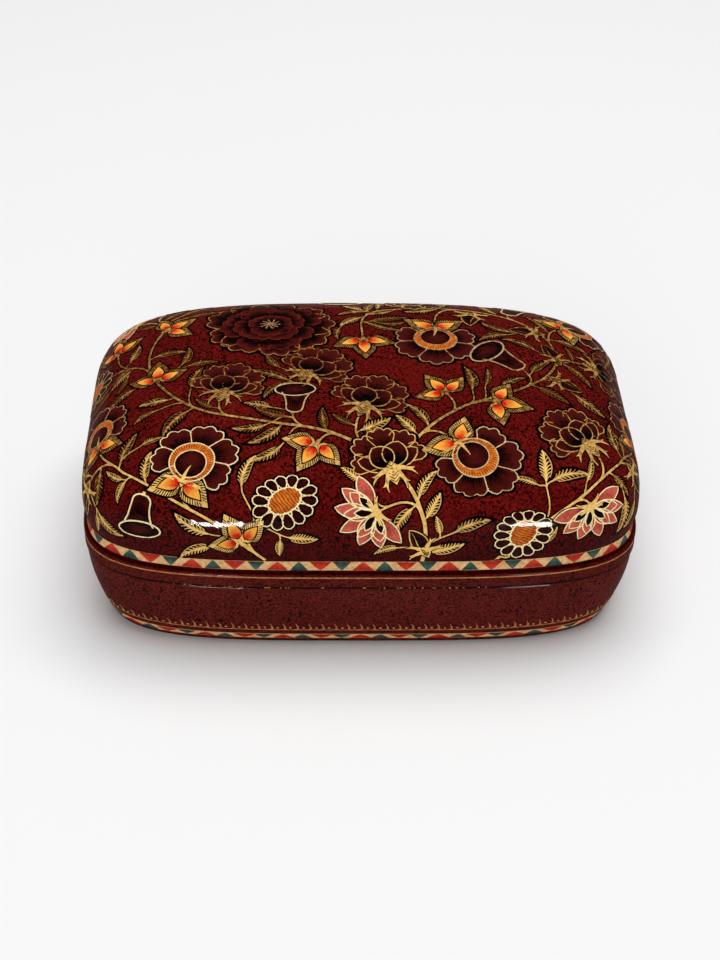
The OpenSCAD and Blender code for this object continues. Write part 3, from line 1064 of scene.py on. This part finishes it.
def trumpet():
    drawn = Motif()
    t = np.linspace(0, 1, 16) ** 1.4
    spine = 8.8 * t + 0.9j * t ** 2
    wide = 2.0 * np.sqrt(np.clip(1 - (1 - t / 0.16) ** 2, 0, 1) * (t < 0.16) + (t >= 0.16))
    wide = wide + 2.4 * t ** 2.8
    left, right = spine + 1j * wide, spine - 1j * wide
    drawn.between("shadow", left + 0.5j, right - 0.5j, 0.07, 0.05)
    drawn.between("petal", left, right, 0.1, np.array([0.9, 0.45, 0.45, 0.95]), 4)
    for k in np.linspace(-0.7, 0.7, 7):
        hair = (spine + 1j * wide * k)[12 - (abs(k) < 0.4) * 3:4:-1]
        drawn.stroke("shadow", hair, brushed(0.4, len(hair), 0.9, 0.2), 0.12, 0.05)
    drawn.stroke("cream", np.concatenate([left[13:0:-1], spine[:1], right[1:14]]), 0.34, 0.15, 0.7)
    disc(drawn, "shadow", spine[-1], 3.1, 5.4, 0.072, 0.05, 9)
    mouth = disc(drawn, "petal", spine[-1], 2.6, 4.9, 0.13, np.array([0.75, 0.6, 0.15, 0.0]), 9)
    closed_line(drawn, "cream", mouth, 0.38, shade=0.75)
    drawn.stroke("gold", np.linspace(-0.6, 0.3, 4), brushed(0.8, 4, 0.6, 0.5), 0.12, 0.6)
    return drawn


def dark_rose():
    drawn = Motif()
    for facing, reach in ((-70, 8.8), (70, 8.8), (-34, 10.4), (34, 10.4), (0, 11.0)):
        petal(drawn, 0.6, facing, reach, 21, 0.3, 0.08 + 0.002 * (abs(facing) % 5), "gold")
    for facing, length, half, lift in ((-66, 8.0, 2.2, 0.117), (66, 8.0, 2.2, 0.119),
                                       (-30, 7.2, 3.0, 0.135), (28, 6.6, 3.0, 0.153)):
        oval_petal(drawn, 0.6, facing, length, half, lift)
    sepals(drawn, 0.2, (98, -98, 138, -138), 5.8, 1.0, 0.4)
    calyx(drawn, -4.2, 1.8, 1.9)
    return drawn


def bud():
    drawn = Motif()
    spine = bend(0, 2.5, 5, 7.4 + 0.8j)
    drawn.between("shadow", *blade(1.06 * spine, 2.5, 0.85, 0.85), 0.07, 0.05)
    left, right = blade(spine, 2.0, 0.85, 0.85)
    drawn.between("petal", left, right, 0.1, np.array([0.9, 0.2, 0.1, 0.7]), 4)
    drawn.stroke("gold", np.concatenate([left[:-1], right[::-1]]), 0.28, 0.14, 0.6)
    drawn.stroke("gold", bend(1 + 0.9j, 3 + 1j, 5 + 0.2j, 6.6 + 0.7j, 8), brushed(0.24, 8), 0.14)
    sepals(drawn, 0.2, (34, -38, 84, -84), 4.4, 0.9, 0.35)
    calyx(drawn, -2.2, 1.6, 1.15)
    return drawn


def flame_trio():
    drawn = Motif()
    for facing, scale in ((0, 1.0), (72, 0.9), (-68, 0.92)):
        flame_drop(drawn, 0.5 * ahead(facing), facing, scale)
    drawn.stroke("gold", np.linspace(-1.0, 0.9, 5), brushed(1.1, 5, 0.5, 0.6), 0.18, 0.6)
    return drawn


def rosette():
    """The great round blossom: rings of ruffled petals, black at the root, pale stamens."""
    drawn = Motif()
    rings = ((17.0, 9, 0, 0.78), (13.4, 8, 16, 0.72), (9.8, 6, 3, 0.6), (6.2, 5, 28, 0.34))
    for level, (reach, number, start, inner) in enumerate(rings):
        for k in range(number):
            facing = start + 360 * (k + 0.2 * math.sin(4 * k + level)) / number
            size = reach * (1 + (0.045 + 0.02 * level) * math.sin(5 * k + 2 * level))
            spread = (222 + 24 * math.cos(3 * k + level)) / number
            lift = 0.075 + 0.022 * level + 0.006 * (k % 2)
            petal(drawn, 0, facing, size, spread, inner, lift, None, 9)
            edge = fan(0, facing, size - 0.1, spread, np.array([1.0]))[:, 0]
            if level:
                drawn.stroke("ember", edge, 0.24, lift + 0.012, 0.05)
            else:
                drawn.stroke("gold", edge, 0.32, 0.105, 0.6)
    for facing in np.arange(10) * 36:
        path = bend(0.3 * ahead(facing), 0.8 * ahead(facing), 1.7 * ahead(facing + 20),
                    2.8 * ahead(facing + 32), 6)
        drawn.stroke("cream", path, [0.24, 0.2, 0.18, 0.18, 0.2, 0.5], 0.182, 0.6)
    return drawn


MOTIFS = {
    "rosette": rosette(), "ring": ring_blossom(), "daisy": daisy(), "lotus": lotus(),
    "trumpet": trumpet(), "rose": dark_rose(), "bud": bud(), "trio": flame_trio(),
    "leaf_left": leaf(1.0), "leaf_right": leaf(-1.0), "leaf_straight": leaf(0.25, 8.8, 1.6, 0.6),
    "leaf_dim": leaf(-0.6, 9.2, 1.4, 0.1), "leaf_slim": leaf(0.7, 12.0, 1.25, 0.35),
}
KINDS = sorted(MOTIFS)
print({kind: sum(len(part[1]) for part in MOTIFS[kind].paints.values()) for kind in KINDS})

# %% [markdown]
# ## A flat sheet for a domed lid
# The spray is composed on a flat sheet and then laid over the dome. A point of the sheet says
# how far to walk from the crown along the surface, and in which direction. So near the crown
# nothing is stretched, and a stem that runs off the top goes on down the side.

# %% From the sheet to the lid
TURNS, STEPS = 360, 240
levels = np.array([level[:4] for level in swell + outer_dome])[::-1]
directions = np.linspace(0, 2 * np.pi, TURNS + 1)
cosine, sine = abs(np.cos(directions))[:, None], abs(np.sin(directions))[:, None]
half_x, half_y = HALF_LENGTH - levels[:, 0], HALF_WIDTH - levels[:, 1]
side_power = 2 + (SIDE_POWER - 2) * levels[:, 3]
end_power = 2 + (END_POWER - 2) * levels[:, 3]
nearest = np.zeros((TURNS + 1, len(levels)))
farthest = np.full((TURNS + 1, len(levels)), 100.0)
for _ in range(40):
    middle = (nearest + farthest) / 2
    outside = ((middle * cosine / (half_x + 1e-9)) ** side_power
               + (middle * sine / (half_y + 1e-9)) ** end_power) > 1
    nearest, farthest = np.where(outside, nearest, middle), np.where(outside, middle, farthest)
walked = np.concatenate([np.zeros((TURNS + 1, 1)), np.cumsum(np.hypot(
    np.diff(nearest, axis=1), np.diff(levels[:, 2])), 1)], 1)
shares = np.linspace(0, 1, STEPS + 1)
reach_table = walked[:, -1]
radius_table = np.array([np.interp(shares * w[-1], w, r) for w, r in zip(walked, nearest)])
height_table = np.array([np.interp(shares * w[-1], w, levels[:, 2]) for w in walked])
print("sheet reaches", reach_table[0].round(1), "along and",
      reach_table[TURNS // 4].round(1), "across")


def sheet_reach(spots):
    """How far the lid's painted side reaches from the crown toward each spot."""
    return np.interp(np.angle(spots) % (2 * np.pi), directions, reach_table)


def on_lid(spots):
    """Places on the lid, in millimetres, for spots of the sheet."""
    spots = np.asarray(spots, complex)
    heading = np.angle(spots) % (2 * np.pi) / (2 * np.pi) * TURNS
    share = np.clip(abs(spots) / sheet_reach(spots), 0, 1) * STEPS
    j, i = np.minimum(heading.astype(int), TURNS - 1), np.minimum(share.astype(int), STEPS - 1)
    a, b = heading - j, share - i
    radius, height = ((1 - a) * ((1 - b) * table[j, i] + b * table[j, i + 1])
                      + a * ((1 - b) * table[j + 1, i] + b * table[j + 1, i + 1])
                      for table in (radius_table, height_table))
    flat_place = radius * np.exp(1j * np.angle(spots))
    return np.stack([flat_place.real, flat_place.imag, height], -1)


def unit(vectors):
    return vectors / np.linalg.norm(vectors, axis=-1, keepdims=True)


def facing_on_lid(spots, heading):
    """The direction along the surface and the outward direction at each spot."""
    spots, heading = np.asarray(spots, complex), np.asarray(heading, complex)
    forward = unit(on_lid(spots + 0.3 * heading) - on_lid(spots - 0.3 * heading))
    leftward = unit(on_lid(spots + 0.3j * heading) - on_lid(spots - 0.3j * heading))
    return forward, unit(np.cross(forward, leftward))

# %% [markdown]
# ## Composing the spray
# Long stems spring from the border and swing over the lid in opposite curves. The blossoms
# are scattered over the sheet, and push each other apart until none overlap. Each gets a stalk
# from the nearest stem. Then leaves are tried at random along all stems, and kept where they
# are clear of everything. The seed is fixed, so the spray is the same each time. The layout is
# this script's own.

# %% Stems, blossoms and leaves
chance = np.random.default_rng(11)
stems, placed, discs = [], [], []
ROOM = {"rosette": (0, 17.5), "ring": (5.4, 10.0), "daisy": (8.6, 8.2), "lotus": (4.6, 7.0),
        "trumpet": (5.2, 6.0), "rose": (3.4, 8.2), "bud": (3.0, 4.4), "trio": (2.2, 6.9)}


def through(points, count):
    """A smooth curve through the points."""
    points = np.array(points, complex)
    ends = np.concatenate([[2 * points[0] - points[1]], points, [2 * points[-1] - points[-2]]])
    t = np.linspace(0, len(points) - 1, count)
    k = np.minimum(t.astype(int), len(points) - 2)
    u = t - k
    a, b, c, d = ends[k], ends[k + 1], ends[k + 2], ends[k + 3]
    return 0.5 * (2 * b + (c - a) * u + (2 * a - 5 * b + 4 * c - d) * u ** 2
                  + (3 * b - a - 3 * c + d) * u ** 3)


def add_stem(path, start, end):
    stems.append((path, np.linspace(start, end, len(path))))


def stem_points():
    return np.concatenate([path for path, _ in stems])


def set_blossom(kind, spot, size):
    """Finds the best place on a stem to branch off, draws the stalk and sets the blossom."""
    offset, room = (v * size for v in ROOM[kind])
    best = None
    for path, _ in stems:
        tangent = np.gradient(path)
        tangent = tangent / abs(tangent)
        away = spot - path
        cost = abs(away) * (1.35 - 0.5 * (np.conj(tangent) * away).real / (abs(away) + 1e-6))
        cost = cost + 60 * (abs(away) < room)
        k = int(np.argmin(cost))
        if best is None or cost[k] < best[0]:
            best = cost[k], path[k], tangent[k]
    _, root, tangent = best
    away = spot - root
    lean = np.sign((np.conj(tangent) * away).imag) or 1.0
    facing = away / abs(away) * ahead(18 * lean)
    base = spot - offset * facing
    gap = abs(base - root)
    path = bend(root, root + 0.42 * gap * tangent * ahead(14 * lean), base - 0.4 * gap * facing,
                base, max(6, int(gap / 1.3)))
    add_stem(path, 0.62, 0.48)
    placed.append((kind, base, facing, size))
    discs.append((spot, room * 0.93))


def settled(garden):
    """Pushes blossoms apart, and in from the border, until they stop overlapping."""
    spots = np.array([spot for _, spot, _ in garden])
    rooms = np.array([ROOM[kind][1] * size for kind, _, size in garden])
    for _ in range(120):
        apart = spots[:, None] - spots[None, :]
        distance = abs(apart) + 1000 * np.eye(len(spots))
        overlap = np.clip(rooms[:, None] + rooms[None, :] - distance, 0, None)
        spots = spots + 0.22 * np.sum(overlap * apart / distance, 1)
        over = np.clip(0.92 * rooms + 1 - (sheet_reach(spots) - abs(spots)), 0, None)
        spots = spots - over * spots / abs(spots)
    return spots


add_stem(through([21 - 68j, 17 - 55j, 8 - 42j, -8 - 31j, -27 - 26j, -44 - 20j, -55 - 7j, -59 + 8j,
                  -56 + 22j], 90), 1.05, 0.6)
add_stem(through([8 - 42j, 16 - 30j, 27 - 20j, 40 - 13j, 51 - 3j, 55 + 10j, 49 + 23j, 36 + 31j,
                  20 + 33j, 5 + 30j], 90), 0.85, 0.55)
add_stem(through([-14 + 68j, -12 + 58j, -4 + 48j, 10 + 46j, 26 + 49j, 44 + 47j], 50), 0.9, 0.55)
add_stem(through([-34 - 66j, -40 - 56j, -52 - 47j, -64 - 38j], 30), 0.85, 0.55)
add_stem(through([44 - 66j, 50 - 54j, 60 - 44j, 70 - 32j], 30), 0.85, 0.55)
garden = [[kind, s + 1j * t, size] for kind, s, t, size in (
    ("rosette", -25, 20, 1.0), ("ring", -73, -20, 1.05), ("ring", 29, -38, 1.2),
    ("ring", 64, 31, 1.15), ("ring", -45, -38, 1.2), ("ring", 22, 13, 1.2), ("ring", -32, 54, 1.15),
    ("ring", 78, -14, 1.05), ("daisy", -22, -50, 1.05), ("daisy", 45, -54, 1.05),
    ("daisy", 33, 64, 1.05), ("daisy", -79, 8, 1.0), ("lotus", -1, -56, 1.2),
    ("lotus", 66, -50, 1.15), ("lotus", 6, 62, 1.15), ("lotus", -69, 36, 1.15),
    ("trumpet", -63, -50, 1.25), ("trumpet", 39, 4, 1.35), ("trumpet", 46, 37, 1.25),
    ("trumpet", -6, 43, 1.25), ("rose", 2, -17, 1.15), ("rose", 71, 9, 1.1),
    ("rose", -53, 47, 1.1), ("rose", 57, -27, 1.15), ("rose", -36, -10, 1.1),
    ("rose", 60, 52, 1.1), ("trio", 38, -18, 1.2), ("trio", -14, -37, 1.15),
    ("trio", -70, 20, 1.1), ("trio", 1, 9, 1.15), ("bud", -80, -38, 1.1), ("bud", 18, -62, 1.1),
    ("bud", 82, 26, 1.1), ("bud", 31, 25, 1.2), ("bud", -84, 24, 1.1), ("bud", -14, 63, 1.1))]
for kind in ("rose", "trio", "rose", "trumpet", "trio", "rose", "bud", "trio", "bud", "bud",
             "trio", "bud", "bud"):
    tries = chance.uniform(-88, 88, 400) + 1j * chance.uniform(-65, 65, 400)
    clear = sheet_reach(tries) - abs(tries)
    for other, spot, size in garden:
        clear = np.minimum(clear, abs(tries - spot) - ROOM[other][1] * size)
    garden.append([kind, tries[np.argmax(clear)], 1.1])
for (kind, _, size), spot in zip(garden, settled(garden)):
    if kind == "rosette":
        placed.append((kind, spot, 1, size))
        discs.append((spot, ROOM[kind][1]))
    else:
        set_blossom(kind, spot, size)


def free(spots, rooms, own):
    """Whether no disc, no other stem and no border lies within reach of these spots."""
    centres = np.array([c for c, _ in discs])
    sizes = np.array([r for _, r in discs])
    for spot, room in zip(spots, rooms):
        if sheet_reach(np.array([spot]))[0] - abs(spot) < room + 0.8:
            return False
        if (abs(centres - spot) < sizes + room).any():
            return False
        if (abs(own - spot) < room + 0.5).any():
            return False
    return True


LEAF_TRIES, SMALL_AFTER = 9000, 6000
main_stems = len(stems)
for trial in range(LEAF_TRIES):
    path, widths = stems[chance.integers(main_stems if trial % 3 else len(stems))]
    k = int(chance.integers(1, len(path) - 1))
    side = chance.choice((-1, 1))
    tangent = (path[k + 1] - path[k - 1]) / abs(path[k + 1] - path[k - 1])
    size = chance.uniform(0.85, 1.15) if trial < SMALL_AFTER else chance.uniform(0.6, 0.85)
    gap = chance.uniform(0.8, 2.4) if trial % 4 else chance.uniform(4, 11)
    facing = tangent * ahead(side * chance.uniform(28, 70))
    base = path[k] + gap * facing
    curl = side * chance.choice((-1, 1, 1))
    facing = facing * ahead(curl * chance.uniform(-5, 25))
    spots = [base + facing * size * reach for reach in (1.8, 5.0, 8.2)]
    rooms = np.array([1.5, 1.9, 1.4]) * size
    if free(spots, rooms, stem_points()):
        stalk = bend(path[k], path[k] + 0.4 * gap * tangent, base - 0.3 * gap * facing, base,
                     max(4, int(gap / 1.2)))
        add_stem(stalk, 0.42, 0.34)
        curled = "leaf_left" if curl > 0 else "leaf_right"
        kinds = [curled, "leaf_straight", "leaf_dim", "leaf_slim"]
        placed.append((chance.choice(kinds, p=(0.5, 0.2, 0.2, 0.1)), base, facing, size))
        discs.extend(zip(spots, rooms))
print(len(placed), "motifs on", len(stems), "stems")

# %% Turn the composition into points and ribbons
spots = np.array([base for _, base, _, _ in placed])
headings = np.array([facing / abs(facing) for _, _, facing, _ in placed], complex)
forward, outward_now = facing_on_lid(spots, headings)


def painted_sheen_at(outward):
    """Painted highlight on gold and cream: lighter on the steep front and back, darker on the crown
    and the ends.
    """
    return np.interp(abs(outward[:, 1]), (0, 0.1, 0.3, 0.6, 1), (-0.5, -0.4, -0.14, 0.12, 0.32))


# Each motif point carries the painted highlight for its gold and cream.
motif_points = mesh_of(
    "motif points", on_lid(spots), ahead=forward, outward=outward_now, glow=painted_sheen_at(outward_now),
    size=np.array([size for *_, size in placed], float),
    kind=np.array([KINDS.index(kind) for kind, *_ in placed]))


def ribbons(extra, lift, shade):
    """Stem ribbons on the lid, wider than drawn by some millimetres, with the painted highlight of
    each place.
    """
    points, faces, painted_sheens = [], [], []
    for path, widths in stems:
        heading = np.gradient(path)
        forward, outward_here = facing_on_lid(path, heading / abs(heading))
        side = np.cross(outward_here, forward) * (widths[:, None] + extra) / 2
        first = len(points)
        painted_sheens.extend(np.repeat(painted_sheen_at(outward_here), 2))
        points.extend(np.stack([on_lid(path) - side, on_lid(path) + side], 1).reshape(-1, 3))
        faces.extend([first + 2 * k + c for c in (0, 2, 3, 1)] for k in range(len(path) - 1))
    return hidden_object("ribbons", mesh_of(
        "ribbons", points, (), faces, lift=np.full(len(points), lift * MM),
        shade=np.full(len(points), float(shade)), glow=np.array(painted_sheens, float)))

# %% [markdown]
# ## Laying the spray
# One tree takes the points of the composition, sets the right motif on each and joins the
# stems to them. It runs once for each paint, so that every paint is one piece with one
# material. The motifs are in no scene: the tree reads them from a collection.

# %% Tree: lay the painting on the lid
spray, given = new_tree("lay paint on the lid", {
    "Motifs": "Collection", "Stems": "Object", **PAINT_INPUTS})
library = wire(spray, "GeometryNodeCollectionInfo", {
    "Collection": given["Motifs"], "Separate Children": True, "Reset Children": True})
facing = along_surface(spray, named(spray, "outward", "FLOAT_VECTOR"))
laid = wire(spray, "GeometryNodeInstanceOnPoints", {
    "Points": given["Geometry"], "Instance": library, "Pick Instance": True,
    "Instance Index": named(spray, "kind", "INT"), "Rotation": facing,
    "Scale": named(spray, "size")})
drawn_stems = wire(spray, "GeometryNodeObjectInfo", {"Object": given["Stems"]}, "Geometry")
everything = add(spray, "GeometryNodeJoinGeometry")
for part in (drawn_stems, wire(spray, "GeometryNodeRealizeInstances", {0: laid})):
    spray.links.new(part.socket, everything.inputs[0])
end_tree(spray, bedded(spray, given, Field(spray, everything.outputs[0])), given["Paint"])

# %% Paint the lid, one paint at a time
no_stems = hidden_object("no stems", mesh_of("no stems", []))
STEMS = {"shadow": ribbons(0.8, 0.02, 0.05), "gold": ribbons(0.0, 0.05, 0.6)}
for colour in ("shadow", "petal", "pink", "ember", "orange", "flame", "gold", "cream"):
    library = bpy.data.collections.new("motifs")
    for number, kind in enumerate(KINDS):
        label = f"{number:02d} {kind}"
        library.objects.link(hidden_object(label, MOTIFS[kind].mesh(label, colour)))
    piece = painted("lid_painting_" + colour, spray, motif_points, colour, lid, 0.3,
                    Motifs=library, Stems=STEMS.get(colour, no_stems))
    for item in list(library.objects):
        bpy.data.objects.remove(item)
    bpy.data.collections.remove(library)
    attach(piece, "lid")

# %% [markdown]
# ## Floor and light
# A dark, glossy box shows every lamp that it can mirror, so the big lamps that light it are
# hidden from mirror rays, and a few small strips stand where the photograph shows streaks.

# %% Pale floor
floor_mesh = bpy.data.meshes.new("floor")
floor_mesh.from_pydata([(x, y, -0.0002) for x, y in ((-6, -6), (6, -6), (6, 6), (-6, 6))], [],
                       [(0, 1, 2, 3)])
floor = bpy.data.objects.new("floor", floor_mesh)
bpy.context.scene.collection.objects.link(floor)
floor_paper, tree, shader = new_material("floor_paper", 0.9, coat=0.0)
paper = mixed(tree, noise(tree, 2.0), (0.86, 0.855, 0.845, 1), (0.88, 0.875, 0.865, 1))
tree.links.new(paper.socket, shader.inputs["Base Color"])
floor_mesh.materials.append(floor_paper)

# %% Lamps
def lamp(name, place, size, power, mirrored):
    """An area lamp that points at the box. It either lights the box or is mirrored in it."""
    data = bpy.data.lights.new(name, "AREA")
    data.shape, data.size, data.size_y, data.energy = "RECTANGLE", size[0], size[1], power
    made = bpy.data.objects.new(name, data)
    bpy.context.scene.collection.objects.link(made)
    made.location = place
    made.rotation_euler = (Vector(place) - Vector((0, 0, 0.03))).to_track_quat("Z", "Y").to_euler()
    made.visible_glossy, made.visible_diffuse = mirrored, not mirrored
    made.visible_camera = False


lamp("overhead", (0.1, 0.15, 1.6), (1.4, 1.4), 25, False)
lamp("front fill", (-0.3, -1.3, 0.7), (1.0, 0.8), 6, False)
lamp("streak left", (-0.076, -0.25, 0.015), (0.05, 0.02), 1.2, True)
lamp("streak right", (0.111, -0.25, 0.015), (0.05, 0.02), 1.2, True)

world = bpy.data.worlds.new("world")
bpy.context.scene.world = world
world.use_nodes = True
sky = world.node_tree.nodes["Background"].inputs
sky["Color"].default_value, sky["Strength"].default_value = (0.9, 0.93, 1.0, 1), 0.22
bpy.context.scene.view_settings.view_transform = "Standard"
